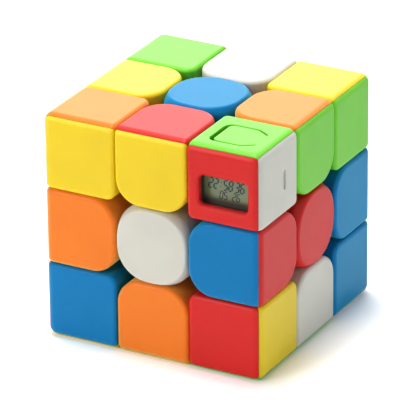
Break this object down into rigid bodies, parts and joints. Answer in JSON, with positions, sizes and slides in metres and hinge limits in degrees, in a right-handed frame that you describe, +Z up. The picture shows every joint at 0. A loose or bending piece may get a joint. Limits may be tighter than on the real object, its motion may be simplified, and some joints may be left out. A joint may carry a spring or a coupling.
{
  "type": "speed cube timer",
  "caption": "Twisting puzzle cube with a small timer in one corner piece: display window on one face, push button on top, pry-off battery cover.",
  "frame": {"origin": "centre of the core ball, which is the middle of the cube", "axes": "+Z up through the layer that holds the timer; the timer's display faces -Y, its battery cover +X and its button +Z"},
  "size_m": [0.056, 0.056, 0.056],
  "materials": {
    "yellow_plastic": "frosted, through-coloured",
    "orange_plastic": "frosted, through-coloured",
    "blue_plastic": "frosted, through-coloured",
    "red_plastic": "frosted, through-coloured",
    "white_plastic": "frosted, through-coloured",
    "green_plastic": "frosted, through-coloured",
    "core_plastic": "low-friction nylon",
    "screw_steel": "zinc plated",
    "spring_steel": "bright",
    "washer_steel": "satin",
    "frame_plastic": "fine grain",
    "gasket_rubber": "matte foam",
    "display_glass": "polished glass over a grey-green liquid crystal",
    "strip_rubber": "matte",
    "board_laminate": "green solder mask",
    "switch_plastic": "satin",
    "plunger_plastic": "satin",
    "cell_steel": "satin nickel",
    "contact_brass": "bright"
  },
  "bodies": {
    "middle_layer": {"core": "core_plastic", "axle_screws": "screw_steel", "tension_springs": "spring_steel", "spring_washers": "washer_steel", "front_centre": "white_plastic", "front_centre_cap": "white_plastic", "right_centre": "red_plastic", "right_centre_cap": "red_plastic", "back_centre": "yellow_plastic", "back_centre_cap": "yellow_plastic", "left_centre": "orange_plastic", "left_centre_cap": "orange_plastic", "front_right_edge_right": "red_plastic", "front_right_edge_front": "blue_plastic", "front_left_edge_left": "white_plastic", "front_left_edge_front": "orange_plastic", "back_right_edge_right": "blue_plastic", "back_right_edge_back": "orange_plastic", "back_left_edge_left": "green_plastic", "back_left_edge_back": "red_plastic"},
    "upper_layer": {"upper_centre": "blue_plastic", "upper_centre_cap": "blue_plastic", "upper_front_edge_front": "yellow_plastic", "upper_front_edge_top": "red_plastic", "upper_back_edge_back": "red_plastic", "upper_back_edge_top": "white_plastic", "upper_right_edge_top": "orange_plastic", "upper_right_edge_right": "green_plastic", "upper_left_edge_top": "yellow_plastic", "upper_left_edge_left": "green_plastic", "front_left_corner_left": "blue_plastic", "front_left_corner_front": "yellow_plastic", "front_left_corner_top": "orange_plastic", "back_right_corner_right": "green_plastic", "back_right_corner_back": "orange_plastic", "back_right_corner_top": "yellow_plastic", "back_left_corner_left": "orange_plastic", "back_left_corner_back": "white_plastic", "back_left_corner_top": "green_plastic", "timer_front_shell": "red_plastic", "timer_top_shell": "green_plastic", "timer_frame": "frame_plastic", "display_gasket": "gasket_rubber", "display_panel": "display_glass", "contact_strip": "strip_rubber", "circuit_board": "board_laminate", "push_switch": "switch_plastic", "coin_cell": "cell_steel", "battery_contacts": "contact_brass"},
    "lower_layer": {"lower_centre": "green_plastic", "lower_centre_cap": "green_plastic", "lower_yellow_shells": "yellow_plastic", "lower_orange_shells": "orange_plastic", "lower_blue_shells": "blue_plastic", "lower_red_shells": "red_plastic", "lower_white_shells": "white_plastic", "lower_green_shells": "green_plastic"},
    "timer_button": {"timer_button": "green_plastic"},
    "switch_plunger": {"switch_plunger": "plunger_plastic"},
    "battery_cover": {"battery_cover": "white_plastic"}
  },
  "joints": [
    {"name": "upper_layer_turn", "type": "hinge", "parent": "middle_layer", "child": "upper_layer", "pos_m": [0, 0, 0], "axis": [0, 0, 1], "continuous": true},
    {"name": "lower_layer_turn", "type": "hinge", "parent": "middle_layer", "child": "lower_layer", "pos_m": [0, 0, 0], "axis": [0, 0, 1], "continuous": true},
    {"name": "timer_button_press", "type": "hinge", "parent": "upper_layer", "child": "timer_button", "pos_m": [0.02385, -0.019, 0.0274], "axis": [0, -1, 0], "range_deg": [0, 3], "stiffness_Nm_per_rad": 0.002},
    {"name": "switch_plunger_travel", "type": "slide", "parent": "upper_layer", "child": "switch_plunger", "axis": [0, 0, -1], "range_m": [0, 0.00041], "stiffness_N_per_m": 20},
    {"name": "battery_cover_release", "type": "slide", "parent": "upper_layer", "child": "battery_cover", "axis": [1, 0, 0], "range_m": [0, 0.006]}
  ],
  "couplings": [
    {"joint": "timer_button_press", "follows": "switch_plunger_travel", "rad_per_m": 126.3}
  ]
}
